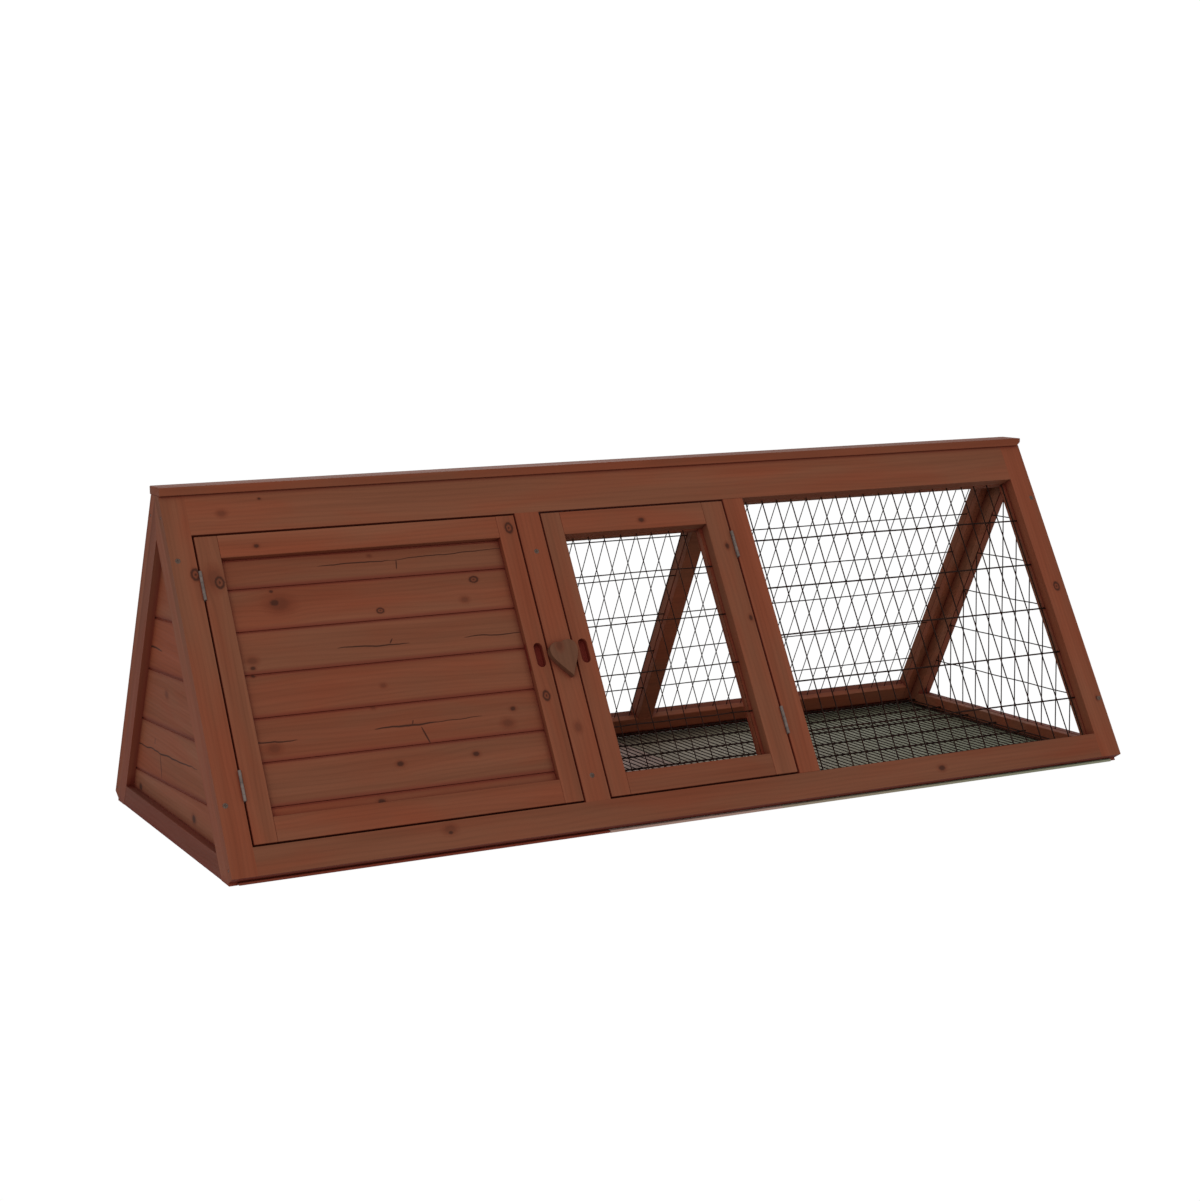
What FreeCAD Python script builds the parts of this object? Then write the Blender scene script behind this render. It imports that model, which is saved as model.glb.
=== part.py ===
import FreeCAD, Part
import math
import os

# Rabbit hutch in the shape of a long tent. All sizes are in millimetres.
# X runs along the ridge, the face with the two doors looks along -Y, and +Z is up.
# The origin is on the ground, below the middle of the ridge.

# Overall shape
LENGTH = 1240.0
HALF = LENGTH / 2
SLOPE_DEG = 60.35
BASE_HALF_WIDTH = 244.0
BASE_Z = 10.45
THICK = 15.0
CAP_Z = 412.5
CAP_HALF_WIDTH = 20.0
CAP_THICK = 10.0

# Front and back frames, measured along the ridge (x) and up the slope (s)
LEFT_OPEN = -590.0
RIGHT_OPEN = 588.0
RAIL_LOW = 33.0
RAIL_TOP = 411.0
SLOPE_END = 475.0
MID_STILE = (-177.2, -144.4)
BACK_STILE = (-176.0, -146.0)
WINDOW_STILE = (122.0, 152.0)
BACK_RAIL_LOW = 35.0
BACK_RIGHT_OPEN = 589.0

# Doors
DOOR_S = (35.5, 408.5)
SOLID_X = (-587.5, -179.6)
SOLID_INNER_X = (-560.0, -204.0)
SOLID_INNER_S = (65.0, 380.0)
MESH_X = (-141.9, 119.5)
MESH_INNER_X = (-116.0, 88.5)
MESH_INNER_S = (63.5, 378.0)
BOARD_SEAMS = (78.0, 130.9, 183.8, 236.7, 289.6, 342.5)
BOARD_RECESS = 8.0
SEAM_WIDTH = 2.2
SEAM_DEPTH = 1.4
SLOT_S = (207.0, 238.5)
SLOT_WIDTH = 11.5
SLOT_DEPTH = 9.0
SOLID_SLOT_X = -190.0
MESH_SLOT_X = -129.4

# Hinges: one leaf on the frame, one on the door, and a pin
HINGE_S = ((86.0, 122.0), (328.5, 364.5))
SOLID_HINGE_X = -588.75
MESH_HINGE_X = 120.75
HINGE_PROUD = 1.9
KNUCKLE_R = 1.8
BORE_R = 1.0
PIN_R = 0.95
LEAF_THICK = 1.0
LEAF_DEPTH = 13.0
KNUCKLES = 5
KNUCKLE_GAP = 0.3

# Turning heart latch
LATCH_X = -160.7
LATCH_S = 222.0
LATCH_THICK = 9.0
LATCH_LIFT = 0.3
HEART_HALF = 18.5
HEART_TIP = 33.0
HEART_LEAN_DEG = 8.0
LATCH_SCREW_R = 2.0
LATCH_HEAD_R = 3.5
LATCH_PLAY = 0.05

# Wire mesh, as flat bars
WIRE = 1.6
MESH_PITCH_X = 23.0
MESH_PITCH_S = 66.0
END_PITCH_Y = 30.5
END_PITCH_Z = 57.8
FLOOR_PITCH_X = 9.8
FLOOR_PITCH_Y = 70.0
BATTEN_THICK = 9.4

# Ends
END_THICK = 10.0
LEG_DEPTH = (15.0, 39.0)
LEFT_RAIL_TOP = 27.0
RIGHT_RAIL_TOP = 24.0
END_BOARD_THICK = 8.0
END_SEAMS = (63.0, 132.0, 198.5, 264.0)
END_SEAM_SLOPE = 0.052

# Floors and partition
FLOOR_JOINT = -150.0
FLOOR_HALF_WIDTH = 236.0
FLOOR_THICK = 3.0
MAT_THICK = 2.9
RUN_FLOOR_Z = (13.4, 15.4)
RUN_FLOOR_Y = (-206.0, 196.0)
RUN_FLOOR_X = (-149.0, 594.5)
PARTITION_X = (-166.0, -156.0)
DOORWAY = (160.0, 190.0)

# Fasteners
SCREWS = ((-611.5, 84), (-611.5, 380), (-161, 65), (-160, 358), (615, 81), (613, 381))
SCREW_HEAD_R = 3.2
SCREW_HEAD = 1.6
SCREW_R = 1.4
SCREW_LENGTH = 30.0
NAIL_S = (12.0, 438.0)
NAIL_R = 1.0
NAIL_HEAD_R = 2.0
NAIL_LENGTH = 45.0

COS = math.cos(math.radians(SLOPE_DEG))
SIN = math.sin(math.radians(SLOPE_DEG))
V = FreeCAD.Vector


# ---- helpers -------------------------------------------------------------

def tilt(shape, back=False):
    """Lays a shape drawn flat as (x, up the slope, outward) on the front or back slope."""
    turn = FreeCAD.Rotation(V(1, 0, 0), SLOPE_DEG)
    shape = shape.copy()
    place = FreeCAD.Placement(V(0, -BASE_HALF_WIDTH, BASE_Z), turn)
    shape.Placement = place.multiply(shape.Placement)
    if back:
        shape = shape.mirror(V(0, 0, 0), V(0, 1, 0))
    return shape


def block(x, s, n):
    """A box given by its three ranges."""
    corner = V(x[0], s[0], n[0])
    return Part.makeBox(x[1] - x[0], s[1] - s[0], n[1] - n[0], corner)


def strip(x, s, depth=(0.0, THICK)):
    """A flat strip of a slope: depth counts inward from the outer face."""
    return block(x, s, (-depth[1], -depth[0]))


def group(shapes):
    return Part.makeCompound(shapes)


def solid(shape):
    """The single solid that a cut or a union leaves."""
    return shape.removeSplitter().Solids[0]


def slope_point(depth, z):
    """Y of the front slope at a depth below its face and at height z."""
    s = (z - BASE_Z + depth * COS) / SIN
    return -BASE_HALF_WIDTH + s * COS + depth * SIN


def prism_x(points, x):
    """A plate with the outline points in (y, z), spanning the range x."""
    loop = [V(x[0], y, z) for y, z in points]
    face = Part.Face(Part.makePolygon(loop + [loop[0]]))
    return face.extrude(V(x[1] - x[0], 0, 0))


def under_cap(shape, back=False):
    """Trims the top of a slope piece level under the cap and upright at the middle."""
    y = (0.0, 400.0) if back else (-400.0, 0.0)
    return solid(shape.common(block((-700, 700), y, (-50.0, CAP_Z))))


def cylinder_n(x, s, radius, n):
    return Part.makeCylinder(radius, n[1] - n[0], V(x, s, n[0]), V(0, 0, 1))


def cylinder_x(x, s, n, radius):
    return Part.makeCylinder(radius, x[1] - x[0], V(x[0], s, n), V(1, 0, 0))


def grid(x, s, xs, ss, depth):
    """A flat grille: a sheet with a window between each pair of bars."""
    sheet = strip(x, s, (depth, depth + WIRE))
    edges_x = [x[0]] + list(xs) + [x[1] - WIRE]
    edges_s = [s[0]] + list(ss) + [s[1] - WIRE]
    holes = []
    for x0, x1 in zip(edges_x, edges_x[1:]):
        for s0, s1 in zip(edges_s, edges_s[1:]):
            hole = strip((x0 + WIRE, x1), (s0 + WIRE, s1), (depth - 1, depth + WIRE + 1))
            holes.append(hole)
    return sheet.cut(group(holes)).Solids[0]


def steps(first, pitch, last):
    values = []
    while first < last:
        values.append(first)
        first += pitch
    return values


# ---- fasteners -----------------------------------------------------------

def screw(x, s):
    head = cylinder_n(x, s, SCREW_HEAD_R, (-SCREW_HEAD, 0.0))
    shank = cylinder_n(x, s, SCREW_R, (-SCREW_LENGTH, -SCREW_HEAD))
    return solid(head.fuse(shank))


def nail(end, s):
    """A nail driven along X into the end of a rail, with its head flush."""
    if end < 0:
        head = cylinder_x((-HALF, -HALF + 1.0), s, -THICK / 2, NAIL_HEAD_R)
        shank = cylinder_x((-HALF + 1.0, -HALF + NAIL_LENGTH), s, -THICK / 2, NAIL_R)
    else:
        head = cylinder_x((HALF - 1.0, HALF), s, -THICK / 2, NAIL_HEAD_R)
        shank = cylinder_x((HALF - NAIL_LENGTH, HALF - 1.0), s, -THICK / 2, NAIL_R)
    return solid(head.fuse(shank))


def all_screws():
    return group([tilt(screw(x, s), back) for back in (False, True) for x, s in SCREWS])


def all_nails():
    spots = [(end, s) for end in (-1, 1) for s in NAIL_S]
    return group([tilt(nail(end, s), back) for back in (False, True) for end, s in spots])


def drilled(shape, back=False):
    """Takes the screw and nail holes out of a slope or end piece already in place."""
    tools = [tilt(screw(x, s), back) for x, s in SCREWS]
    tools += [tilt(nail(end, s), back) for end in (-1, 1) for s in NAIL_S]
    near = [t for t in tools if t.BoundBox.intersect(shape.BoundBox)]
    if near:
        shape = shape.cut(near)
    return shape.Solids[0]


# ---- slope frames --------------------------------------------------------

def stile(x, s=(0.0, SLOPE_END), back=False):
    piece = tilt(strip(x, s), back)
    if s[1] > RAIL_TOP:
        piece = under_cap(piece, back)
    return drilled(piece, back)


def rail(x, s, back=False):
    piece = tilt(strip(x, s), back)
    if s[1] > RAIL_TOP:
        piece = under_cap(piece, back)
    return drilled(piece, back)


def mid_stile():
    hole = cylinder_n(LATCH_X, LATCH_S, LATCH_SCREW_R + LATCH_PLAY, (-THICK - 1, 1.0))
    piece = strip(MID_STILE, (RAIL_LOW, RAIL_TOP)).cut(hole)
    return drilled(tilt(piece))


def frame_of_battens(x, s, widths, depth):
    """Four battens round an opening: widths are left, right, bottom and top."""
    left, right, low, high = widths
    d = (depth, depth + BATTEN_THICK)
    return [
        strip((x[0], x[0] + left), s, d),
        strip((x[1] - right, x[1]), s, d),
        strip((x[0] + left, x[1] - right), (s[0], s[0] + low), d),
        strip((x[0] + left, x[1] - right), (s[1] - high, s[1]), d),
    ]


def window_mesh():
    xs = steps(167.5, MESH_PITCH_X, 590.0)
    return tilt(grid((130.0, 596.5), (14.0, 431.0), xs, (90.5, 157.3, 222.0, 287.4, 354.7), THICK))


def window_battens():
    battens = frame_of_battens((128.0, 596.5), (14.0, 431.0), (22, 11, 19, 20), THICK + WIRE)
    return group([tilt(b) for b in battens])


def back_mesh():
    xs = steps(-142.0, MESH_PITCH_X, 590.0)
    sheet = grid((-152.0, 596.5), (16.0, 431.0), xs, (90.5, 157.3, 222.0, 287.4, 354.7), THICK)
    return tilt(sheet, True)


def back_battens():
    d = (THICK + WIRE, THICK + WIRE + BATTEN_THICK)
    battens = frame_of_battens((-152.0, 596.5), (18.0, 431.0), (12, 12.5, 23.5, 20), d[0])
    battens.append(strip((122.0, 145.0), (41.5, 411.0), d))
    return group([tilt(b, True) for b in battens])


def back_boards():
    seams = [BACK_RAIL_LOW] + list(BOARD_SEAMS) + [RAIL_TOP]
    x = (LEFT_OPEN, BACK_STILE[0])
    return group([tilt(board(x, s0, s1), True) for s0, s1 in zip(seams, seams[1:])])


# ---- doors ---------------------------------------------------------------

def board(x, s0, s1):
    """One board of a panel, with a shallow groove along its upper edge."""
    top = s1 - SEAM_WIDTH
    front, back = -BOARD_RECESS, -THICK
    outline = [(s0, front), (top, front), (top, front - SEAM_DEPTH), (s1, front - SEAM_DEPTH)]
    outline += [(s1, back), (s0, back)]
    loop = [V(x[0], s, n) for s, n in outline]
    face = Part.Face(Part.makePolygon(loop + [loop[0]]))
    return face.extrude(V(x[1] - x[0], 0, 0))


def finger_slot(x):
    r = SLOT_WIDTH / 2
    low, high = SLOT_S[0] + r, SLOT_S[1] - r
    n = (-SLOT_DEPTH, 1.0)
    middle = block((x - r, x + r), (low, high), n)
    return middle.fuse([cylinder_n(x, low, r, n), cylinder_n(x, high, r, n)]).removeSplitter()


def door_stile(x, slot=None):
    piece = strip(x, DOOR_S)
    if slot is not None:
        piece = solid(piece.cut(finger_slot(slot)))
    return tilt(piece)


def solid_door_boards():
    seams = [SOLID_INNER_S[0]] + list(BOARD_SEAMS) + [SOLID_INNER_S[1]]
    return [tilt(board(SOLID_INNER_X, s0, s1)) for s0, s1 in zip(seams, seams[1:])]


def door_mesh():
    xs = (-98.3, -74.9, -52.6, -30.2, -7.0, 16.0, 39.0, 62.0)
    return tilt(grid((-122.0, 101.0), (52.0, 390.0), xs, (126.0, 192.0, 258.0, 325.0), THICK))


def door_battens():
    battens = frame_of_battens((-122.5, 103.0), (50.0, 392.0), (9, 18, 13.5, 14), THICK + WIRE)
    return group([tilt(b) for b in battens])


# ---- hinges --------------------------------------------------------------

def hinge_leaf(axis_x, side, s, fixed):
    """A leaf in the gap, on the side given as -1 or 1, with its own knuckles."""
    pitch = (s[1] - s[0]) / KNUCKLES
    reach = (0.25, 0.25 + LEAF_THICK)
    x = sorted((axis_x + side * reach[0], axis_x + side * reach[1]))
    leaf = block(x, s, (-LEAF_DEPTH, -0.3))
    bores = []
    for i in range(KNUCKLES):
        if (i % 2 == 0) != fixed:
            continue
        low = s[0] + i * pitch + (KNUCKLE_GAP if i else 0.0)
        high = s[0] + (i + 1) * pitch
        centre = V(axis_x, low, HINGE_PROUD)
        leaf = leaf.fuse(Part.makeCylinder(KNUCKLE_R, high - low, centre, V(0, 1, 0)))
        leaf = leaf.fuse(block(x, (low, high), (-0.3, 1.2)))
        bores.append(Part.makeCylinder(BORE_R, high - low, centre, V(0, 1, 0)))
    return solid(leaf.cut(bores))


def hinge_pin(axis_x, s):
    return Part.makeCylinder(PIN_R, s[1] - s[0], V(axis_x, s[0], HINGE_PROUD), V(0, 1, 0))


def fixed_leaves():
    left = [hinge_leaf(SOLID_HINGE_X, -1, s, True) for s in HINGE_S]
    right = [hinge_leaf(MESH_HINGE_X, 1, s, True) for s in HINGE_S]
    return group([tilt(leaf) for leaf in left + right])


def door_leaves(axis_x, side):
    return group([tilt(hinge_leaf(axis_x, side, s, False)) for s in HINGE_S])


def all_pins():
    return group([tilt(hinge_pin(x, s)) for x in (SOLID_HINGE_X, MESH_HINGE_X) for s in HINGE_S])


# ---- latch ---------------------------------------------------------------

def heart():
    """A flat heart that hangs tip down and turns on a screw let into its back."""
    w, tip = HEART_HALF, HEART_TIP
    lobe = [(0, 11.8), (3, 13.8), (w + 0.4, 16), (w, 1)]
    side = [(w, 1), (w - 0.7, -9), (5.5, -23), (0, -tip)]
    half = []
    for poles in (lobe, side):
        curve = Part.BezierCurve()
        curve.setPoles([V(x, s, 0) for x, s in poles])
        half.append(curve.toShape())
    other = [e.mirror(V(0, 0, 0), V(1, 0, 0)) for e in half]
    face = Part.Face(Part.Wire(Part.__sortEdges__(half + other)))
    body = face.extrude(V(0, 0, LATCH_THICK))
    body.rotate(V(0, 0, 0), V(0, 0, 1), HEART_LEAN_DEG)
    body.translate(V(LATCH_X, LATCH_S, LATCH_LIFT))
    hole = cylinder_n(LATCH_X, LATCH_S, LATCH_SCREW_R, (-1, LATCH_LIFT + LATCH_THICK - 2.5))
    return tilt(solid(body.cut(hole)))


def latch_screw():
    """The screw turns with the heart; its head lies behind the stile."""
    head = cylinder_n(LATCH_X, LATCH_S, LATCH_HEAD_R, (-THICK - 1.8, -THICK - 0.3))
    shank = cylinder_n(LATCH_X, LATCH_S, LATCH_SCREW_R, (-THICK - 0.3, LATCH_LIFT + LATCH_THICK - 3))
    return tilt(solid(head.fuse(shank)))


# ---- ends ----------------------------------------------------------------

def leg(x, back=False):
    """An end leg behind a slope, cut level at the ground and upright at the ridge."""
    depth0, depth1 = LEG_DEPTH
    apex0 = BASE_Z - depth0 * COS + (BASE_HALF_WIDTH - depth0 * SIN) * SIN / COS
    apex1 = BASE_Z - depth1 * COS + (BASE_HALF_WIDTH - depth1 * SIN) * SIN / COS
    points = [(slope_point(depth0, 0), 0), (0, apex0), (0, apex1), (slope_point(depth1, 0), 0)]
    piece = prism_x(points, x)
    if back:
        piece = piece.mirror(V(0, 0, 0), V(0, 1, 0))
    return drilled(piece, back)


def end_rail(x, top):
    low, high = slope_point(LEG_DEPTH[1], 0), slope_point(LEG_DEPTH[1], top)
    return prism_x([(low, 0), (-low, 0), (-high, top), (high, top)], x)


def end_boards():
    """The boards nailed inside the left end frame, from the floor up to the ridge."""
    x = (-HALF + END_THICK, -HALF + END_THICK + END_BOARD_THICK)
    clear = THICK + 0.2
    apex = BASE_Z - clear * COS + (BASE_HALF_WIDTH - clear * SIN) * SIN / COS
    low = FLOOR_THICK + 0.1
    triangle = prism_x([(slope_point(clear, low), low), (-slope_point(clear, low), low),
                        (0, apex)], x)
    levels = [-60.0] + list(END_SEAMS) + [500.0]
    rise = 300.0 * END_SEAM_SLOPE
    pieces = []
    for z0, z1 in zip(levels, levels[1:]):
        band = [(-300, z0 + rise), (300, z0 - rise), (300, z1 - rise), (-300, z1 + rise)]
        cut = triangle.common(prism_x(band, x)).Solids[0]
        lip = [(-300, z1 + rise - SEAM_WIDTH), (300, z1 - rise - SEAM_WIDTH), (300, z1 - rise),
               (-300, z1 + rise)]
        cut = cut.cut(prism_x(lip, (x[0] - 1, x[0] + SEAM_DEPTH))).Solids[0]
        pieces.append(drilled(drilled(cut), True))
    return pieces


def end_mesh():
    """A triangular grille at the right end, between the frame and its battens."""
    x = (HALF - END_THICK - 1.6, HALF - END_THICK)
    clear = THICK + 0.3
    apex = BASE_Z - clear * COS + (BASE_HALF_WIDTH - clear * SIN) * SIN / COS
    low = 7.0
    sheet = prism_x([(slope_point(clear, low), low), (-slope_point(clear, low), low),
                     (0, apex)], x)
    inner = LEG_DEPTH[1] - 6.0
    top = BASE_Z - inner * COS + (BASE_HALF_WIDTH - inner * SIN) * SIN / COS
    window = prism_x([(slope_point(inner, 18.0), 18.0), (-slope_point(inner, 18.0), 18.0),
                      (0, top)], (x[0] - 1, x[1] + 1))
    bars = [block((x[0] - 2, x[1] + 2), (y, y + WIRE), (0, 500))
            for y in steps(-211.0, END_PITCH_Y, 215.0)]
    bars += [block((x[0] - 2, x[1] + 2), (-300, 300), (z, z + WIRE))
             for z in steps(20.5, END_PITCH_Z, 400.0)]
    return sheet.cut(window.cut(bars)).Solids[0]


def end_battens():
    """Three battens that hold the grille of the right end."""
    x = (HALF - END_THICK - 12.6, HALF - END_THICK - 1.6)
    front = leg_like(x)
    back = front.mirror(V(0, 0, 0), V(0, 1, 0))
    low = FLOOR_THICK + 4.0
    y0 = slope_point(LEG_DEPTH[1], low)
    y1 = slope_point(LEG_DEPTH[1], RIGHT_RAIL_TOP)
    rail_piece = prism_x([(y0, low), (-y0, low), (-y1, RIGHT_RAIL_TOP), (y1, RIGHT_RAIL_TOP)], x)
    pieces = [front, back, rail_piece]
    drilled_pieces = []
    for piece in pieces:
        drilled_pieces.append(drilled(drilled(piece), True))
    return group(drilled_pieces)


def leg_like(x):
    depth0, depth1 = LEG_DEPTH[0] + 0.3, LEG_DEPTH[1]
    low = FLOOR_THICK + 4.0
    apex0 = BASE_Z - depth0 * COS + (BASE_HALF_WIDTH - depth0 * SIN) * SIN / COS
    apex1 = BASE_Z - depth1 * COS + (BASE_HALF_WIDTH - depth1 * SIN) * SIN / COS
    points = [(slope_point(depth0, low), low), (0, apex0), (0, apex1),
              (slope_point(depth1, low), low)]
    return prism_x(points, x)


# ---- ridge, floors, partition --------------------------------------------

def ridge_cap():
    """A flat batten along the ridge; its lower edge is chamfered at the right end."""
    cap = block((-HALF, HALF), (-CAP_HALF_WIDTH, CAP_HALF_WIDTH), (CAP_Z, CAP_Z + CAP_THICK))
    corner = [V(HALF, 0, CAP_Z), V(HALF - 5, 0, CAP_Z), V(HALF, 0, CAP_Z + 4.5)]
    wedge = Part.Face(Part.makePolygon(corner + [corner[0]])).extrude(V(0, 100, 0))
    wedge.translate(V(0, -50, 0))
    return cap.cut(wedge).Solids[0]


def partition():
    clear = THICK + 0.2
    low = FLOOR_THICK + 0.1
    high = 392.0
    y0, y1 = slope_point(clear, low), slope_point(clear, high)
    plate = prism_x([(y0, low), (-y0, low), (-y1, high), (y1, high)], PARTITION_X)
    width, height = DOORWAY
    doorway = block((-300, 0), (-width / 2, width / 2), (0, height))
    pocket = tilt(cylinder_n(LATCH_X, LATCH_S, LATCH_HEAD_R + 1.0, (-THICK - 4.0, -THICK)))
    plate = plate.cut([doorway, pocket]).Solids[0]
    return drilled(drilled(plate), True)


def sleeping_floor():
    x = (-HALF + END_THICK + 0.2, FLOOR_JOINT)
    return block(x, (-FLOOR_HALF_WIDTH, FLOOR_HALF_WIDTH), (0, FLOOR_THICK))


def run_floor_mesh():
    """The raised wire floor of the run: close wires across it, a few wires along it."""
    x, y, z = RUN_FLOOR_X, RUN_FLOOR_Y, RUN_FLOOR_Z
    pitch_y = (y[1] - y[0] - WIRE) / 6
    xs = steps(x[0], FLOOR_PITCH_X, x[1] - FLOOR_PITCH_X)
    ys = steps(y[0], pitch_y, y[1] - 10)
    holes = []
    for x0, x1 in zip(xs, xs[1:]):
        for y0 in ys:
            holes.append(block((x0 + WIRE, x1), (y0 + WIRE, y0 + pitch_y), (0, 30)))
    return block(x, y, z).cut(group(holes)).Solids[0]


def run_floor_mat():
    x = (FLOOR_JOINT + 0.3, HALF - END_THICK - 0.2)
    return block(x, (-FLOOR_HALF_WIDTH, FLOOR_HALF_WIDTH), (0.0, MAT_THICK))


# ---- assembly ------------------------------------------------------------

def hutch_nodes():
    full = (0.0, SLOPE_END)
    high = (RAIL_TOP, SLOPE_END)
    between = (LEFT_OPEN, RIGHT_OPEN)
    between_back = (LEFT_OPEN, BACK_RIGHT_OPEN)
    upright = (RAIL_LOW, RAIL_TOP)
    left_x = (-HALF, -HALF + END_THICK)
    right_x = (HALF - END_THICK, HALF)
    nodes = {
        "front_left_stile": stile((-HALF, LEFT_OPEN), full),
        "front_right_stile": stile((RIGHT_OPEN, HALF), full),
        "front_top_rail": rail(between, high),
        "front_bottom_rail": rail(between, (0.0, RAIL_LOW)),
        "front_mid_stile": mid_stile(),
        "front_window_stile": stile(WINDOW_STILE, upright),
        "front_window_mesh": window_mesh(),
        "front_window_battens": window_battens(),
        "back_left_stile": stile((-HALF, LEFT_OPEN), full, True),
        "back_right_stile": stile((BACK_RIGHT_OPEN, HALF), full, True),
        "back_top_rail": rail(between_back, high, True),
        "back_bottom_rail": rail(between_back, (0.0, BACK_RAIL_LOW), True),
        "back_partition_stile": stile(BACK_STILE, (BACK_RAIL_LOW, RAIL_TOP), True),
        "back_mid_stile": stile(WINDOW_STILE, (BACK_RAIL_LOW, RAIL_TOP), True),
        "back_mesh": back_mesh(),
        "back_battens": back_battens(),
        "back_boards": back_boards(),
        "left_end_front_leg": leg(left_x),
        "left_end_back_leg": leg(left_x, True),
        "left_end_bottom_rail": end_rail(left_x, LEFT_RAIL_TOP),
        "right_end_front_leg": leg(right_x),
        "right_end_back_leg": leg(right_x, True),
        "right_end_bottom_rail": end_rail(right_x, RIGHT_RAIL_TOP),
        "right_end_mesh": end_mesh(),
        "right_end_battens": end_battens(),
        "ridge_cap": ridge_cap(),
        "partition": partition(),
        "sleeping_floor": sleeping_floor(),
        "run_floor_mesh": run_floor_mesh(),
        "run_floor_mat": run_floor_mat(),
        "frame_screws": all_screws(),
        "frame_nails": all_nails(),
        "fixed_hinge_leaves": fixed_leaves(),
        "hinge_pins": all_pins(),
    }
    for i, piece in enumerate(end_boards(), 1):
        nodes["left_end_board_%d" % i] = piece
    return nodes


def solid_door_nodes():
    nodes = {
        "solid_door_left_stile": door_stile((SOLID_X[0], SOLID_INNER_X[0])),
        "solid_door_right_stile": door_stile((SOLID_INNER_X[1], SOLID_X[1]), SOLID_SLOT_X),
        "solid_door_top_rail": tilt(strip(SOLID_INNER_X, (SOLID_INNER_S[1], DOOR_S[1]))),
        "solid_door_bottom_rail": tilt(strip(SOLID_INNER_X, (DOOR_S[0], SOLID_INNER_S[0]))),
        "solid_door_hinge_leaves": door_leaves(SOLID_HINGE_X, 1),
    }
    for i, piece in enumerate(solid_door_boards(), 1):
        nodes["solid_door_board_%d" % i] = piece
    return nodes


def mesh_door_nodes():
    return {
        "mesh_door_left_stile": door_stile((MESH_X[0], MESH_INNER_X[0]), MESH_SLOT_X),
        "mesh_door_right_stile": door_stile((MESH_INNER_X[1], MESH_X[1])),
        "mesh_door_top_rail": tilt(strip(MESH_INNER_X, (MESH_INNER_S[1], DOOR_S[1]))),
        "mesh_door_bottom_rail": tilt(strip(MESH_INNER_X, (DOOR_S[0], MESH_INNER_S[0]))),
        "mesh_door_mesh": door_mesh(),
        "mesh_door_battens": door_battens(),
        "mesh_door_hinge_leaves": door_leaves(MESH_HINGE_X, -1),
    }


def main():
    os.makedirs("parts", exist_ok=True)
    nodes = {}
    nodes.update(hutch_nodes())
    nodes.update(solid_door_nodes())
    nodes.update(mesh_door_nodes())
    nodes["latch_heart"] = heart()
    nodes["latch_screw"] = latch_screw()
    for name, shape in nodes.items():
        print(name, len(shape.Solids), shape.isValid(), round(shape.Volume))
        shape.exportStep("parts/%s.step" % name)
    print(len(nodes), "nodes")


main()
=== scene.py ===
import math
import random

import bpy
from mathutils import Matrix, Vector


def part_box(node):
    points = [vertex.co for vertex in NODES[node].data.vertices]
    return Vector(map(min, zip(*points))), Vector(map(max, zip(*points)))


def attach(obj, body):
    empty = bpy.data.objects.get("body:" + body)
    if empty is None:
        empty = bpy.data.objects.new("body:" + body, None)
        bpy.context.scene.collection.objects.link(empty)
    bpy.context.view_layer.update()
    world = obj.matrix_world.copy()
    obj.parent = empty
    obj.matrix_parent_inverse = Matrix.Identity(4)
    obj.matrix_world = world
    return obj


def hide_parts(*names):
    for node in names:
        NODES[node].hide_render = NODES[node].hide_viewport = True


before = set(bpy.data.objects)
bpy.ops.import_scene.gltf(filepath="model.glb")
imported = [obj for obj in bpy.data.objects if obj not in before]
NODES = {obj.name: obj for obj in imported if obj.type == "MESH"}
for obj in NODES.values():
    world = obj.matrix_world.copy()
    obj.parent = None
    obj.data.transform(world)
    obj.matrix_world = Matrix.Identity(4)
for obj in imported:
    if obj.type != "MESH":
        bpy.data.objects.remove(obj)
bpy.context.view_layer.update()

# The front and back slopes: x along the ridge, s up the slope, n outward, in metres.
SLOPE = math.radians(60.35)
COS, SIN = math.cos(SLOPE), math.sin(SLOPE)
BASE_Y, BASE_Z = 0.244, 0.01045
SURFACE = BASE_Z * COS + BASE_Y * SIN
SLOT_MIDDLE = 0.22275
END_X = 0.62

# Wires: how deep they lie behind a slope, and their radii.
UP_DEPTH, ALONG_DEPTH = 0.0170, 0.0158
UP_RADIUS, ALONG_RADIUS, END_RADIUS = 0.00062, 0.00078, 0.0008
FLOOR_ACROSS_RADIUS, FLOOR_ALONG_RADIUS = 0.00075, 0.0012
SCREW_RADIUS, NAIL_RADIUS = 0.0032, 0.0018
FLOOR_SPLIT_X = 0.0915


def on_slope(x, s, n=0.0, back=False):
    y = -BASE_Y + s * COS - n * SIN
    return Vector((x, -y if back else y, BASE_Z + s * SIN + n * COS))


# ---- camera, light and floor ----------------------------------------------

def make_camera():
    turn, tip, roll = math.radians(26.738), math.radians(-7.993), math.radians(-0.898)
    look = Vector((math.sin(turn) * math.cos(tip), math.cos(turn) * math.cos(tip), math.sin(tip)))
    right = look.cross(Vector((0, 0, 1))).normalized()
    up = right.cross(look)
    side = math.cos(roll) * right + math.sin(roll) * up
    top = math.cos(roll) * up - math.sin(roll) * right
    data = bpy.data.cameras.new("camera")
    data.sensor_fit = "HORIZONTAL"
    data.sensor_width = 36.0
    data.lens = 65.574
    data.shift_x, data.shift_y = 0.0102, -0.0131
    data.clip_start, data.clip_end = 0.05, 200.0
    camera = bpy.data.objects.new("camera", data)
    bpy.context.collection.objects.link(camera)
    place = Matrix((side, top, -look)).transposed().to_4x4()
    place.translation = (-1.3128, -2.4945, 0.6559)
    camera.matrix_world = place
    bpy.context.scene.camera = camera


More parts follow.
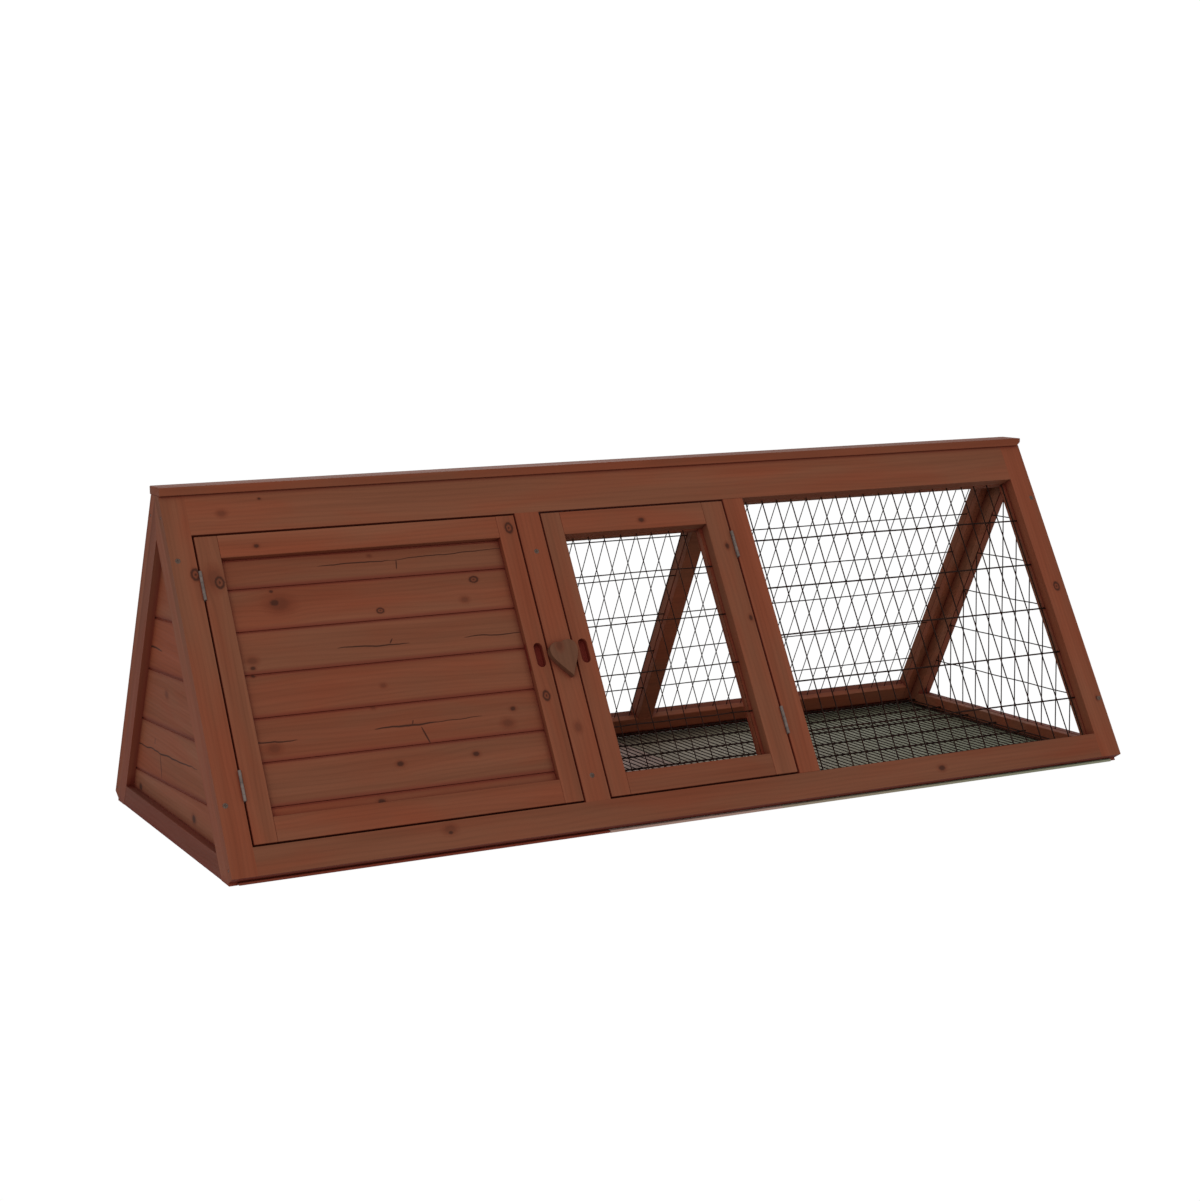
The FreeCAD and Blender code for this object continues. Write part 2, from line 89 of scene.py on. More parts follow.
def area_light(name, place, aim, size, power, colour=(1, 1, 1)):
    data = bpy.data.lights.new(name, "AREA")
    data.shape = "DISK"
    data.size = size
    data.energy = power
    data.color = colour
    light = bpy.data.objects.new(name, data)
    bpy.context.collection.objects.link(light)
    light.location = place
    light.rotation_euler = (Vector(aim) - Vector(place)).to_track_quat("-Z", "Y").to_euler()


def make_studio():
    scene = bpy.context.scene
    scene.view_settings.view_transform = "Standard"
    scene.view_settings.look = "None"
    world = bpy.data.worlds.new("studio")
    scene.world = world
    world.use_nodes = True
    background = world.node_tree.nodes["Background"]
    background.inputs["Color"].default_value = (1.0, 1.0, 1.0, 1)
    background.inputs["Strength"].default_value = 1.15
    area_light("key", (-2.8, -3.5, 1.9), (0, 0, 0.2), 2.6, 130, (1.0, 0.985, 0.96))
    area_light("fill", (2.4, -3.6, 1.1), (0, 0, 0.2), 3.0, 55, (0.97, 0.985, 1.0))
    area_light("back", (1.6, 3.6, 2.4), (0, 0, 0.2), 2.8, 75, (1.0, 0.99, 0.975))
    data = bpy.data.meshes.new("floor")
    ring = [(12 * math.cos(a * math.tau / 64), 12 * math.sin(a * math.tau / 64), 0) for a in range(64)]
    data.from_pydata(ring, [], [list(range(64))])
    floor = bpy.data.objects.new("floor", data)
    bpy.context.collection.objects.link(floor)
    tree = Tree("studio_floor")
    tree.principled(**{"Base Color": (0, 0, 0, 1), "Roughness": 1.0, "Specular IOR Level": 0.0,
                       "Emission Color": (1, 1, 1, 1), "Emission Strength": 1.01})
    data.materials.append(tree.material)


# ---- node trees -----------------------------------------------------------

class Tree:
    """A material under construction. A value given to a socket is a number, a tuple or a socket."""

    def __init__(self, name):
        self.material = bpy.data.materials.new(name)
        self.material.use_nodes = True
        self.tree = self.material.node_tree
        self.tree.nodes.clear()

    def add(self, kind, values=None, out=0, **settings):
        node = self.tree.nodes.new("ShaderNode" + kind)
        for key, value in settings.items():
            setattr(node, key, value)
        for key, value in (values or {}).items():
            if isinstance(value, bpy.types.NodeSocket):
                self.tree.links.new(value, node.inputs[key])
            else:
                node.inputs[key].default_value = value
        return node.outputs[out] if node.outputs else None

    def math(self, operation, a, b=0.0, c=0.0, clamp=False):
        return self.add("Math", {0: a, 1: b, 2: c}, operation=operation, use_clamp=clamp)

    def vector(self, operation, a, b=(0, 0, 0), out=0):
        return self.add("VectorMath", {0: a, 1: b}, out, operation=operation)

    def mix(self, factor, a, b, blend="MIX"):
        return self.add("Mix", {0: factor, 6: a, 7: b}, 2, data_type="RGBA", blend_type=blend)

    def ramp(self, value, low, high, to_low=0.0, to_high=1.0):
        values = {"Value": value, "From Min": low, "From Max": high, "To Min": to_low, "To Max": to_high}
        return self.add("MapRange", values, interpolation_type="SMOOTHSTEP")

    def noise(self, vector, scale=1.0, detail=3.0, roughness=0.5, distortion=0.0):
        values = {"Vector": vector, "Scale": scale, "Detail": detail, "Roughness": roughness,
                  "Distortion": distortion}
        return self.add("TexNoise", values)

    def principled(self, **values):
        shader = self.add("BsdfPrincipled", values)
        self.add("OutputMaterial", {"Surface": shader})
        return self.material


# ---- wood -----------------------------------------------------------------

RED = (0.0990, 0.0250, 0.0112, 1)
BROWN = (0.0895, 0.0312, 0.0158, 1)
# deep red painted as shade in corners, crevices and finger slots
PAINTED_SHADE_RED = (0.066, 0.0062, 0.0042, 1)
KNOT_HALO = (0.060, 0.0125, 0.0052, 1)
KNOT_RING = (0.0180, 0.0058, 0.0034, 1)


def grain_space(tree, lie):
    """Coordinates along the grain, across it and into the piece."""
    place = tree.add("TexCoord", out=3)
    angle = {"front": -SLOPE, "back": SLOPE}.get(lie[:5].rstrip("_"), 0.0)
    if angle:
        shift = (0, math.copysign(BASE_Y * COS - BASE_Z * SIN, -angle), 0)
        place = tree.add("Mapping", {"Vector": place, "Rotation": (angle, 0, 0), "Location": shift})
    parts = tree.tree.nodes.new("ShaderNodeSeparateXYZ")
    tree.tree.links.new(place, parts.inputs[0])
    x, y, z = parts.outputs
    order = {"along": (x, y, z), "up": (y, x, z), "depth": (y, z, x)}[lie.split("_")[1]]
    return tree.add("CombineXYZ", {0: order[0], 1: order[1], 2: order[2]})


def crack_mask(tree, along, across, wobble, start, end, width):
    """How deep in a thin crack a point lies; the crack tapers to both ends."""
    run, climb = end[0] - start[0], end[1] - start[1]
    length = math.hypot(run, climb)
    da = tree.math("SUBTRACT", along, start[0])
    dc = tree.math("ADD", tree.math("SUBTRACT", across, start[1]), wobble)
    t = tree.math("MULTIPLY_ADD", da, run / length ** 2, tree.math("MULTIPLY", dc, climb / length ** 2))
    off = tree.math("MULTIPLY_ADD", dc, run / length, tree.math("MULTIPLY", da, -climb / length))
    taper = tree.math("MULTIPLY", tree.math("MULTIPLY", t, tree.math("SUBTRACT", 1.0, t)), 4.0, clamp=True)
    reach = tree.math("MULTIPLY_ADD", tree.math("SQRT", taper), 1.35 * width, 0.00001)
    inside = tree.math("DIVIDE", tree.math("ABSOLUTE", off), reach)
    return tree.math("MULTIPLY", tree.ramp(inside, 1.0, 0.35), tree.ramp(taper, 0.0, 0.15))


def wood(name, lie, seed, shade, knots, cracks, red, tint, edges, slot):
    """Stained softwood: streaks, growth lines, fibres and knots, with painted shade (a darker red) in the
    corners, along the seams and inside the finger slots.
    """
    tree = Tree(name)
    rng = random.Random(seed)
    place = grain_space(tree, lie)
    shift = (rng.uniform(-9, 9), rng.uniform(-9, 9), rng.uniform(-9, 9))
    space = tree.vector("ADD", place, shift)

    # knots bend the grain round them
    parts = tree.tree.nodes.new("ShaderNodeSeparateXYZ")
    tree.tree.links.new(place, parts.inputs[0])
    dark, core, push = 0.0, 0.0, 0.0
    for along, across, size, kind in knots:
        da = tree.math("SUBTRACT", parts.outputs[0], along)
        db = tree.math("SUBTRACT", parts.outputs[1], across)
        flat = tree.add("CombineXYZ", {0: tree.math("MULTIPLY", da, 0.72 / size),
                                       1: tree.math("DIVIDE", db, size)})
        rough = tree.noise(tree.vector("ADD", place, shift), 420.0, 2.0)
        far = tree.vector("LENGTH", flat, out=1)
        far = tree.math("ADD", far, tree.math("MULTIPLY", tree.math("SUBTRACT", rough, 0.5), 0.40))
        ring = tree.math("MULTIPLY", tree.ramp(far, 0.45, 0.85), tree.ramp(far, 1.35, 0.95))
        spot = tree.ramp(far, 0.42, 0.1) if kind == "ring" else tree.ramp(far, 1.05, 0.45)
        spot = tree.math("MULTIPLY", spot, 0.30 if kind == "faint" else 0.95)
        mark = tree.math("MAXIMUM", ring, spot) if kind == "ring" else spot
        dark = tree.math("MAXIMUM", dark, mark)
        core = tree.math("MAXIMUM", core, tree.ramp(far, 1.9, 0.7))
        near = tree.math("DIVIDE", 1.0, tree.math("ADD", 1.0, tree.math("MULTIPLY", far, far)))
        bend = tree.math("MULTIPLY", tree.math("MULTIPLY", db, near), -0.85)
        push = tree.math("ADD", push, bend)
    bent = tree.vector("ADD", space, tree.add("CombineXYZ", {1: push})) if knots else space
    split = 0.0
    if cracks:
        wobble = tree.noise(tree.vector("MULTIPLY", space, (24.0, 12.0, 12.0)), 1.0, 3.0)
        wobble = tree.math("MULTIPLY_ADD", wobble, 0.008, -0.004)
        for start, end, width in cracks:
            mask = crack_mask(tree, parts.outputs[0], parts.outputs[1], wobble, start, end, width)
            split = tree.math("MAXIMUM", split, mask)

    streak = tree.noise(tree.vector("MULTIPLY", bent, (2.2, 60.0, 60.0)), 1.0, 4.0, 0.55, 0.35)
    wander = tree.noise(tree.vector("MULTIPLY", bent, (3.0, 14.0, 14.0)), 1.0, 2.0)
    bent_parts = tree.tree.nodes.new("ShaderNodeSeparateXYZ")
    tree.tree.links.new(bent, bent_parts.inputs[0])
    rings = tree.math("MULTIPLY", bent_parts.outputs[1], 1100.0)
    rings = tree.math("ADD", rings, tree.math("MULTIPLY", wander, 34.0))
    rings = tree.math("ADD", rings, tree.math("MULTIPLY", streak, 3.0))
    rings = tree.math("SINE", rings)
    rings = tree.math("POWER", tree.math("ADD", tree.math("MULTIPLY", rings, 0.5), 0.5), 2.2)
    fibre = tree.noise(tree.vector("MULTIPLY", bent, (14.0, 900.0, 900.0)), 1.0, 2.0, 0.6)
    blotch = tree.noise(tree.vector("MULTIPLY", space, (4.0, 16.0, 16.0)), 1.0, 3.0, 0.55, 0.3)

    tone = tree.ramp(tree.math("ADD", blotch, red - 0.5), 0.30, 0.70)
    colour = tree.mix(tone, BROWN, RED)
    light = tree.math("MULTIPLY", tree.math("SUBTRACT", streak, 0.5), 0.55)
    light = tree.math("ADD", light, tree.math("MULTIPLY", rings, -0.07))
    light = tree.math("ADD", light, tree.math("MULTIPLY", tree.math("SUBTRACT", fibre, 0.5), 0.20))
    light = tree.math("MULTIPLY", tree.math("ADD", light, 1.03), shade)
    channels = {i: tree.math("MULTIPLY", light, tint[i]) for i in range(3)}
    colour = tree.mix(1.0, colour, tree.add("CombineXYZ", channels), "MULTIPLY")

    # painted shade: a deep red laid where ambient occlusion finds corners and crevices
    occlusion_shade = tree.add("AmbientOcclusion", {"Distance": 0.016}, 1, samples=6)
    colour = tree.mix(tree.ramp(occlusion_shade, 0.85, 0.30, 0.0, 0.75), colour, PAINTED_SHADE_RED)
    # painted shade: a darker red band along each board seam, for the shade between the boards
    if edges:
        uneven = tree.math("MULTIPLY_ADD", blotch, 0.004, -0.002)
        lean = tree.math("MULTIPLY_ADD", parts.outputs[0], edges[2], parts.outputs[1])
        near = [tree.math("ABSOLUTE", tree.math("SUBTRACT", lean, edge)) for edge in edges[:2]]
        near = tree.math("ADD", tree.math("MINIMUM", near[0], near[1]), uneven)
        colour = tree.mix(tree.ramp(near, 0.0062, 0.0, 0.0, 0.62), colour, (0.062, 0.0085, 0.0050, 1))
    # painted shade: the inside of the blind finger slot is coloured deep red for the shade in the recess
    if slot:
        depth = tree.math("SUBTRACT", parts.outputs[2], SURFACE)
        off = tree.math("ABSOLUTE", tree.math("SUBTRACT", parts.outputs[0], SLOT_MIDDLE))
        inside = tree.math("MULTIPLY", tree.ramp(depth, -0.0012, -0.0045), tree.ramp(depth, -0.0115, -0.0105))
        inside = tree.math("MULTIPLY", inside, tree.ramp(off, 0.0185, 0.0165, 0.0, 0.8))
        colour = tree.mix(inside, colour, PAINTED_SHADE_RED)
    if knots:
        colour = tree.mix(tree.math("MULTIPLY", core, 0.45), colour, KNOT_HALO)
        colour = tree.mix(tree.math("MULTIPLY", dark, 0.85), colour, KNOT_RING)
    if cracks:
        colour = tree.mix(tree.math("MULTIPLY", split, 0.92), colour, KNOT_RING)

    height = tree.math("ADD", tree.math("MULTIPLY", fibre, 0.5), tree.math("MULTIPLY", rings, -0.3))
    if cracks:
        height = tree.math("SUBTRACT", height, tree.math("MULTIPLY", split, 1.5))
    bump = tree.add("Bump", {"Strength": 0.25, "Distance": 0.0003, "Height": height})
    rough = tree.ramp(streak, 0.3, 0.7, 0.80, 0.68)
    return tree.principled(**{"Base Color": colour, "Roughness": rough, "Normal": bump,
                              "Specular IOR Level": 0.06})


def steel(name, colour, rough, metallic, specular):
    """Plain metal or wire coating with fine pitting and slow changes of tone."""
    tree = Tree(name)
    place = tree.add("TexCoord", out=3)
    spots = tree.noise(place, 900.0, 4.0, 0.6)
    wear = tree.noise(place, 60.0, 3.0, 0.6)
    darker = tuple(c * 0.55 for c in colour) + (1,)
    tint = tree.mix(tree.ramp(wear, 0.35, 0.7), tuple(colour) + (1,), darker)
    bump = tree.add("Bump", {"Strength": 0.25, "Distance": 0.0002, "Height": spots})
    rough = tree.ramp(spots, 0.3, 0.7, rough - 0.08, rough + 0.12)
    return tree.principled(**{"Base Color": tint, "Roughness": rough, "Metallic": metallic, "Normal": bump,
                              "Specular IOR Level": specular})


def painted_shade_ground():
    """The flat surface below the wires, coloured with painted shade: its grey-green stands in for the shaded
    ground under the run, and it is warmer at its left end.
    """
    tree = Tree("floor_mat")
    place = tree.add("TexCoord", out=3)
    parts = tree.tree.nodes.new("ShaderNodeSeparateXYZ")
    tree.tree.links.new(place, parts.inputs[0])
    speck = tree.noise(place, 700.0, 3.0, 0.6)
    patch = tree.noise(place, 9.0, 3.0, 0.5)
    shade = tree.ramp(tree.math("MULTIPLY_ADD", patch, 0.2, parts.outputs[0]), 0.16, 0.62)
    # painted shade: dark grey-green for the ground in shade under the run
    colour = tree.mix(shade, (0.148, 0.110, 0.072, 1), (0.108, 0.110, 0.066, 1))
    warm = tree.ramp(parts.outputs[0], FLOOR_SPLIT_X, FLOOR_SPLIT_X - 0.0025)
    colour = tree.mix(warm, colour, (0.185, 0.105, 0.082, 1))
    colour = tree.mix(tree.ramp(speck, 0.35, 0.7, 0.0, 0.35), colour, (0.07, 0.07, 0.05, 1))
    bump = tree.add("Bump", {"Strength": 0.3, "Distance": 0.0004, "Height": speck})
    return tree.principled(**{"Base Color": colour, "Roughness": 0.8, "Normal": bump})


# ---- meshes ---------------------------------------------------------------

def tube(points, radius, verts, faces, sides=8):
    """Adds a round wire along the points to the lists."""
    first = len(verts)
    along = (points[-1] - points[0]).normalized()
    a = along.orthogonal().normalized()
    b = along.cross(a)
    for p in points:
        for i in range(sides):
            t = i * math.tau / sides
            verts.append(p + radius * (math.cos(t) * a + math.sin(t) * b))
    for k in range(len(points) - 1):
        for i in range(sides):
            j = (i + 1) % sides
            low, high = first + k * sides, first + (k + 1) * sides
            faces.append((low + i, low + j, high + j, high + i))
    faces.append([first + i for i in range(sides)][::-1])
    faces.append([first + (len(points) - 1) * sides + i for i in range(sides)])


def wire(start, end, radius, rng, wave, verts, faces, steps=14):
    """One slightly uneven wire from start to end."""
    across = (end - start).orthogonal().normalized()
    other = (end - start).normalized().cross(across)
    phase, turn = rng.uniform(0, math.tau), rng.uniform(0, math.tau)
    count = rng.uniform(1.2, 3.4)
    points = []
    for i in range(steps + 1):
        t = i / steps
        swing = wave * math.sin(phase + t * count * math.tau)
        shift = across * math.cos(turn) * swing + other * math.sin(turn) * swing * 0.3
        points.append(start.lerp(end, t) + shift)
    tube(points, radius, verts, faces)


def finish_mesh(name, verts, faces, material, body):
    data = bpy.data.meshes.new(name)
    data.from_pydata([tuple(v) for v in verts], [], faces)
    data.validate()
    data.polygons.foreach_set("use_smooth", [True] * len(data.polygons))
    data.materials.append(material)
    obj = bpy.data.objects.new(name, data)
    bpy.context.collection.objects.link(obj)
    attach(obj, body)
    return obj


def steps(first, pitch, last):
    values = []
    while first < last:
        values.append(first)
        first += pitch
    return values


def slope_mesh(name, node, body, x, s, xs, ss, back=False, seed=1, thick=1.0):
    """Welded mesh behind a slope: wires up the slope at xs, wires along it at ss."""
    rng = random.Random(seed)
    verts, faces = [], []
    for at in [x[0] + 0.001] + list(xs) + [x[1] - 0.001]:
        at += rng.uniform(-0.0006, 0.0006)
        lean = rng.uniform(-0.0012, 0.0012)
        start, end = on_slope(at, s[0], -UP_DEPTH, back), on_slope(at + lean, s[1], -UP_DEPTH, back)
        wire(start, end, UP_RADIUS * thick, rng, 0.0004, verts, faces)
    for at in [s[0] + 0.001] + list(ss) + [s[1] - 0.001]:
        start, end = on_slope(x[0], at, -ALONG_DEPTH, back), on_slope(x[1], at, -ALONG_DEPTH, back)
        wire(start, end, ALONG_RADIUS * thick, rng, 0.0004, verts, faces, 24)
    obj = finish_mesh(name, verts, faces, MATERIALS["wire"], body)
    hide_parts(node)


def slope_y(depth, z):
    s = (z - BASE_Z + depth * COS) / SIN
    return -BASE_Y + s * COS + depth * SIN


def end_wires():
    rng = random.Random(7)
    verts, faces = [], []
    for y in steps(-0.2105, 0.0305, 0.2155):
        depth = 0.018
        top = BASE_Z - depth * COS + (BASE_Y - abs(y) - depth * SIN) * SIN / COS
        wire(Vector((0.6095, y, 0.008)), Vector((0.6095, y, top)), END_RADIUS, rng, 0.0004, verts, faces)
    for z in steps(0.0210, 0.0578, 0.37):
        y = slope_y(0.018, z)
        wire(Vector((0.6088, y, z)), Vector((0.6088, -y, z)), END_RADIUS, rng, 0.0004, verts, faces)
    obj = finish_mesh("right_end_wires", verts, faces, MATERIALS["wire"], "hutch")
    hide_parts("right_end_mesh")


def floor_wires():
    rng = random.Random(11)
    verts, faces = [], []
    low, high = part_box("run_floor_mesh")
    for x in steps(low[0] + 0.0008, 0.0098, high[0]):
        start, end = Vector((x, low[1], high[2] - 0.0008)), Vector((x, high[1], high[2] - 0.0008))
        wire(start, end, FLOOR_ACROSS_RADIUS, rng, 0.0003, verts, faces, 8)
    for i in range(7):
        y = low[1] + 0.0008 + i * (high[1] - low[1] - 0.0016) / 6
        start, end = Vector((low[0], y, high[2] - 0.0012)), Vector((high[0], y, high[2] - 0.0012))
        wire(start, end, FLOOR_ALONG_RADIUS, rng, 0.0003, verts, faces, 20)
    obj = finish_mesh("run_floor_wires", verts, faces, MATERIALS["wire"], "hutch")
    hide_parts("run_floor_mesh")


def dome(centre, across, up, out, radius, cross, verts, faces):
    """The visible top of a fastener: a shallow dome, with a cross recess if asked."""
    first = len(verts)
    rings, sides = 10, 40
    for k in range(rings + 1):
        r = radius * k / rings
        for i in range(sides):
            t = i * math.tau / sides
            px, py = r * math.cos(t), r * math.sin(t)
            h = 0.00025 * (1 - (r / radius) ** 4)
            if cross:
                arm = min(abs(px), abs(py))
                reach = max(abs(px), abs(py))
                if arm < 0.0005 and reach < radius * 0.62:
                    h -= 0.0011
            if k == rings:
                h = -0.0003
            verts.append(centre + across * px + up * py + out * h)
    for k in range(rings):
        for i in range(sides):
            j = (i + 1) % sides
            faces.append((first + k * sides + i, first + (k + 1) * sides + i,
                          first + (k + 1) * sides + j, first + k * sides + j))


def fasteners():
    """Screw heads on the slopes and nail heads in the edges of the end stiles."""
    verts, faces = [], []
    spots = ((-0.6115, 0.084), (-0.6115, 0.380), (-0.161, 0.065), (-0.160, 0.358),
             (0.615, 0.081), (0.613, 0.381))
    for back in (False, True):
        for x, s in spots:
            centre = on_slope(x, s, 0.0, back)
            up = (on_slope(x, s + 0.1, 0.0, back) - centre).normalized()
            out = (on_slope(x, s, 0.1, back) - centre).normalized()
            dome(centre, up.cross(out).normalized(), up, out, SCREW_RADIUS, True, verts, faces)
    screws = finish_mesh("screw_heads", verts, faces, MATERIALS["screw"], "hutch")
    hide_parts("frame_screws")
    verts, faces = [], []
    for back in (False, True):
        for end in (-1, 1):
            for s in (0.012, 0.438):
                centre = on_slope(END_X * end, s, -0.0075, back)
                out = Vector((end, 0, 0))
                dome(centre - out * 0.0003, Vector((0, 1, 0)), Vector((0, 0, 1)), out, NAIL_RADIUS,
                     False, verts, faces)
    nails = finish_mesh("nail_heads", verts, faces, MATERIALS["nail"], "hutch")
    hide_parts("frame_nails")


# ---- which wood goes where ------------------------------------------------

# Knots as (along, across, size, kind) and cracks as (start, end, width), in each piece's own grain space.
KNOTS = {
    "front_top_rail": [(-0.549, 0.436, 0.0044, "faint"), (-0.500, 0.452, 0.0018, "spot")],
    "front_left_stile": [(0.3616, -0.5939, 0.0050, "ring")],
    "solid_door_left_stile": [(0.3495, -0.5675, 0.0052, "ring"), (0.355, -0.572, 0.0100, "faint")],
    "solid_door_top_rail": [(-0.515, 0.392, 0.0030, "spot")],
    "solid_door_right_stile": [(0.392, -0.1895, 0.0048, "ring"), (0.1704, -0.1945, 0.0044, "ring")],
    "solid_door_board_7": [(-0.376, 0.372, 0.0024, "faint")],
    "solid_door_board_6": [(-0.5046, 0.3218, 0.0052, "spot"), (-0.506, 0.3364, 0.0022, "spot"),
                           (-0.3772, 0.3008, 0.0033, "ring"), (-0.2489, 0.3307, 0.0040, "ring"),
                           (-0.2666, 0.3057, 0.0042, "faint"), (-0.4990, 0.3200, 0.0110, "faint")],
    "solid_door_board_5": [(-0.5460, 0.2440, 0.0028, "spot"), (-0.5450, 0.2530, 0.0050, "faint")],
    "solid_door_board_4": [(-0.5476, 0.2345, 0.0024, "spot"), (-0.3942, 0.2071, 0.0030, "faint")],
    "solid_door_board_3": [(-0.2382, 0.1614, 0.0034, "spot"), (-0.5400, 0.1455, 0.0060, "faint"),
                           (-0.4124, 0.1815, 0.0026, "faint"), (-0.2490, 0.1440, 0.0060, "faint")],
    "solid_door_board_2": [(-0.3946, 0.1101, 0.0040, "spot"), (-0.2984, 0.1110, 0.0038, "spot")],
    "solid_door_board_1": [(-0.4269, 0.0680, 0.0042, "spot"), (-0.5152, 0.0600, 0.0038, "spot")],
    "mesh_door_top_rail": [(-0.004, 0.390, 0.0038, "spot")],
    "mesh_door_right_stile": [(0.345, 0.1095, 0.0036, "spot"), (0.2442, 0.1145, 0.0034, "spot")],
    "front_right_stile": [(0.247, 0.606, 0.0044, "ring"), (0.0814, 0.6115, 0.0030, "spot")],
    "front_mid_stile": [(0.1266, -0.1636, 0.0050, "faint")],
    "latch_heart": [(0.2290, -0.1660, 0.0050, "faint")],
    "front_bottom_rail": [(0.3318, 0.0147, 0.0046, "spot"), (-0.3555, 0.0231, 0.0060, "faint"),
                          (-0.3555, 0.0190, 0.0026, "spot")],
    "ridge_cap": [(0.343, 0.004, 0.0035, "spot"), (-0.21, -0.006, 0.0040, "ring")],
    "left_end_board_1": [(0.156, 0.032, 0.0056, "spot"), (-0.073, 0.040, 0.0060, "spot")],
    "left_end_board_3": [(0.02, 0.172, 0.0050, "faint")],
    "back_boards": [(-0.520, -0.112, 0.0042, "spot"), (-0.330, -0.208, 0.0046, "ring"),
                    (-0.246, -0.305, 0.0040, "spot"), (-0.472, -0.366, 0.0036, "spot"),
                    (-0.402, -0.060, 0.0040, "ring"), (-0.560, -0.262, 0.0070, "faint")],
    "back_top_rail": [(0.142, -0.430, 0.0040, "ring"), (-0.377, -0.441, 0.0034, "spot")],
    "back_bottom_rail": [(0.455, -0.022, 0.0042, "spot"), (-0.120, -0.015, 0.0036, "spot")],
}
CRACKS = {
    "solid_door_board_7": [((-0.445, 0.364), (-0.348, 0.365), 0.0009),
                           ((-0.343, 0.366), (-0.345, 0.352), 0.0008),
                           ((-0.3550, 0.3645), (-0.1950, 0.3690), 0.0007)],
    "solid_door_board_5": [((-0.4420, 0.2588), (-0.3480, 0.2566), 0.0010),
                           ((-0.2800, 0.2580), (-0.1990, 0.2566), 0.0009),
                           ((-0.3700, 0.2655), (-0.3745, 0.2585), 0.0008)],
    "solid_door_board_3": [((-0.5700, 0.1540), (-0.5100, 0.1528), 0.0010),
                           ((-0.4180, 0.1552), (-0.3330, 0.1552), 0.0013),
                           ((-0.3500, 0.1550), (-0.2780, 0.1570), 0.0006),
                           ((-0.3590, 0.1530), (-0.3520, 0.1300), 0.0011),
                           ((-0.3670, 0.1615), (-0.3690, 0.1560), 0.0007)],
    "left_end_board_2": [((0.1900, 0.0870), (-0.1000, 0.1020), 0.0011),
                         ((0.0600, 0.0930), (0.0570, 0.0630), 0.0014),
                         ((0.0790, 0.1090), (0.0820, 0.1000), 0.0010)],
    "left_end_board_4": [((0.1200, 0.2190), (0.0300, 0.2235), 0.0013)],
}


# Boards of the solid door and of the left end: where a seam lies, and how far apart and how steep they are.
DOOR_SEAM, DOOR_PITCH = 0.1309, 0.0529
END_SEAM_LEVELS = (-0.06, 0.063, 0.132, 0.1985, 0.264, 0.5)
END_SEAM_SLOPE = 0.052


def edges_of(node):
    """The seams beside a board, in its grain space: low, high and slope."""
    if node.startswith("solid_door_board"):
        high = DOOR_SEAM + DOOR_PITCH * (int(node[-1]) - 2)
        return high - DOOR_PITCH, high, 0.0
    if node.startswith("left_end_board"):
        number = int(node[-1])
        return END_SEAM_LEVELS[number - 1], END_SEAM_LEVELS[number], END_SEAM_SLOPE
    return None


def lie_of(node):
    """How a wooden node lies: which slope or face, and which way its grain runs."""
    side = "back" if node.startswith("back") else "front"
    if node.startswith("left_end_board") or node in ("left_end_bottom_rail", "right_end_bottom_rail"):
        return "level_depth"
    if node.startswith("partition"):
        return "level_depth"
    if node.endswith("front_leg"):
        return "front_up"
    if node.endswith("back_leg"):
        return "back_up"
    if node in ("ridge_cap", "sleeping_floor"):
        return "level_along"
    if "stile" in node or node == "latch_heart":
        return side + "_up"
    return side + "_along"


def shade_of(node):
    if "_board" in node:
        return 0.93
    if node in ("ridge_cap", "front_left_stile"):
        return 0.93
    if "bottom_rail" in node:
        return 0.93
    return 1.0


def tint_and_shade_of(node):
    """Per-piece colour: bare on the heart, a different stain on the left end's bottom rail and lighter left
    end boards; painted shade makes the back and right bottom rails and the back legs, which lie in shade
    inside and low down, darker and redder.
    """
    if node == "latch_heart":
        return (0.70, 0.82, 0.88)
    # painted shade: the back and right bottom rails darker and redder, for the shade low inside the run
    if node in ("back_bottom_rail", "right_end_bottom_rail"):
        return (0.78, 0.58, 0.60)
    if node == "left_end_bottom_rail":
        return (0.80, 0.66, 0.72)
    if node.startswith("left_end_board"):
        return (1.20, 1.14, 1.06)
    # painted shade: the back legs darker and redder, for the shade on their inner sides
    if node.endswith("back_leg"):
        return (0.95, 0.80, 0.84)
    return (1, 1, 1)


def soften(obj, width):
    weld = obj.modifiers.new("weld", "WELD")
    weld.merge_threshold = 0.00001
    flat = obj.modifiers.new("flat", "DECIMATE")
    flat.decimate_type = "DISSOLVE"
    flat.angle_limit = math.radians(0.5)
    bevel = obj.modifiers.new("bevel", "BEVEL")
    bevel.width = width
    bevel.segments = 2
    bevel.limit_method = "ANGLE"
    bevel.angle_limit = math.radians(40)
    split = obj.modifiers.new("split", "EDGE_SPLIT")
    split.split_angle = math.radians(15)


def dress(obj, material):
    obj.data.materials.clear()
    obj.data.materials.append(material)


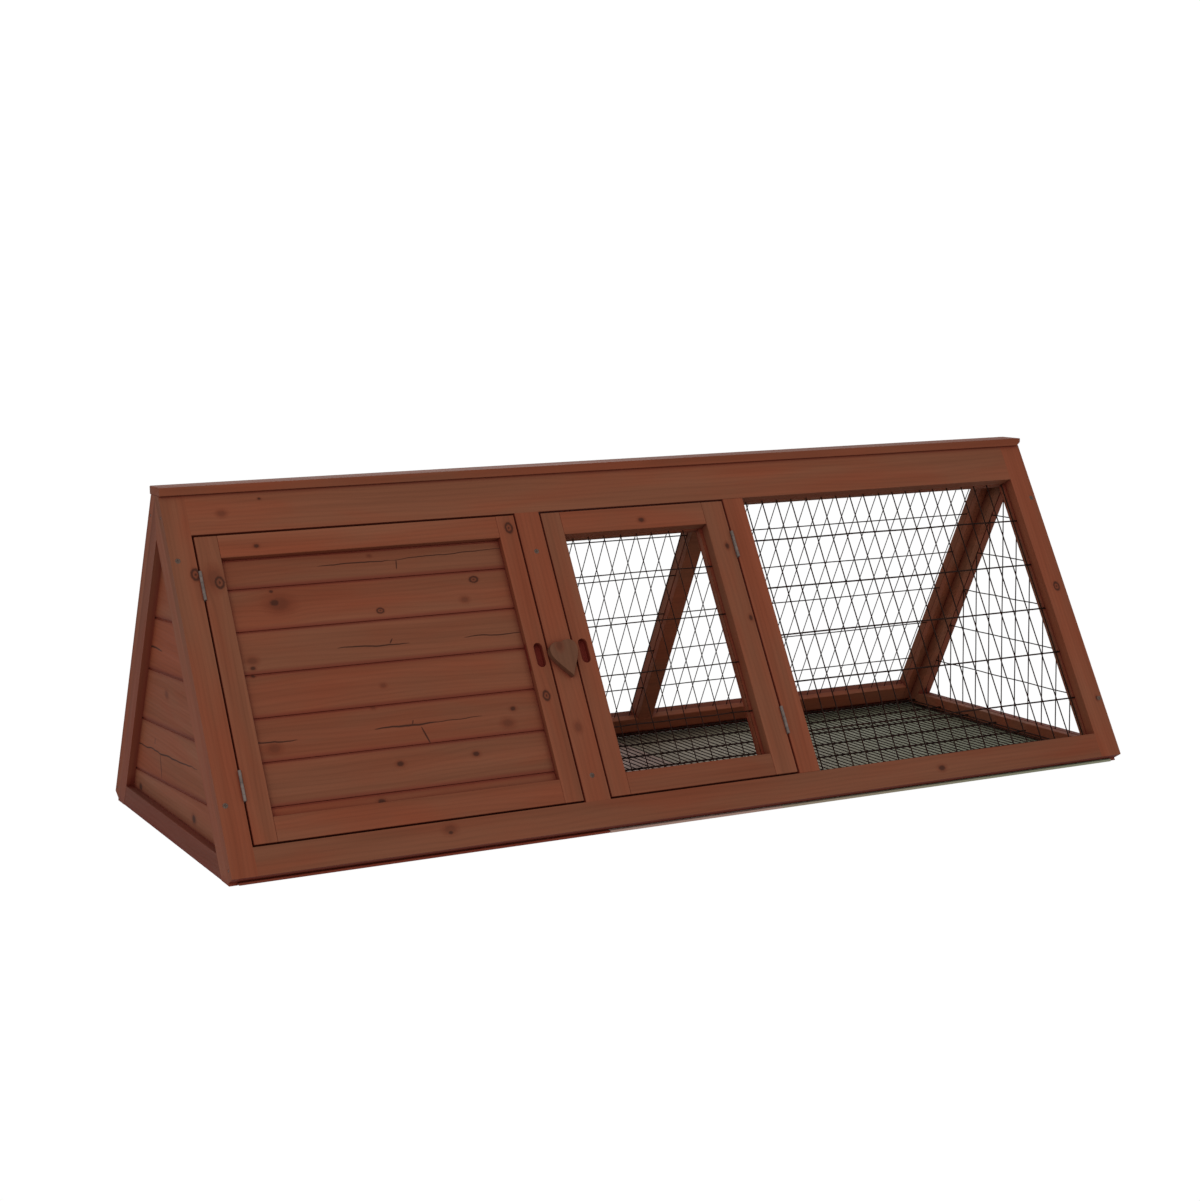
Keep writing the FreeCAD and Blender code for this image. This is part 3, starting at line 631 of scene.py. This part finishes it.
NOT_WOOD = ("_mesh", "hinge", "screw", "nail", "floor_mat")
SLOTTED = ("solid_door_right_stile", "mesh_door_left_stile")


def make_wood():
    for number, (name, obj) in enumerate(sorted(NODES.items())):
        if any(word in name for word in NOT_WOOD):
            continue
        rng = random.Random(name)
        shade, red = shade_of(name) * rng.uniform(0.96, 1.04), rng.uniform(0.40, 0.60)
        material = wood(name + "_wood", lie_of(name), 40 + number, shade, KNOTS.get(name, ()),
                        CRACKS.get(name, ()), red, tint_and_shade_of(name), edges_of(name), name in SLOTTED)
        dress(obj, material)
        soften(obj, 0.0011 if "_board" in name else 0.0008)


MATERIALS = {}


def main():
    make_camera()
    make_studio()
    MATERIALS["wire"] = steel("coated_wire", (0.0120, 0.0048, 0.0034), 0.80, 0.0, 0.03)
    MATERIALS["zinc"] = steel("dull_zinc", (0.092, 0.070, 0.061), 0.65, 0.1, 0.12)
    MATERIALS["screw"] = steel("screw_steel", (0.070, 0.046, 0.036), 0.70, 0.0, 0.05)
    MATERIALS["nail"] = steel("nail_steel", (0.035, 0.020, 0.014), 0.60, 0.2, 0.2)
    make_wood()
    for name in ("fixed_hinge_leaves", "hinge_pins", "solid_door_hinge_leaves", "mesh_door_hinge_leaves",
                 "latch_screw"):
        dress(NODES[name], MATERIALS["zinc"])
    dress(NODES["run_floor_mat"], painted_shade_ground())
    slopes = (0.0905, 0.1573, 0.222, 0.2874, 0.3547)
    slope_mesh("front_window_wires", "front_window_mesh", "hutch", (0.130, 0.5965), (0.014, 0.431),
               steps(0.1675, 0.023, 0.590), slopes, False, 3, 1.35)
    slope_mesh("back_wires", "back_mesh", "hutch", (-0.152, 0.5965), (0.016, 0.431),
               steps(-0.142, 0.023, 0.590), slopes, True, 5)
    slope_mesh("mesh_door_wires", "mesh_door_mesh", "mesh_door", (-0.122, 0.101), (0.052, 0.390),
               (-0.0983, -0.0749, -0.0526, -0.0302, -0.007, 0.016, 0.039, 0.062),
               (0.126, 0.192, 0.258, 0.325), False, 9, 1.0)
    end_wires()
    floor_wires()
    fasteners()


main()
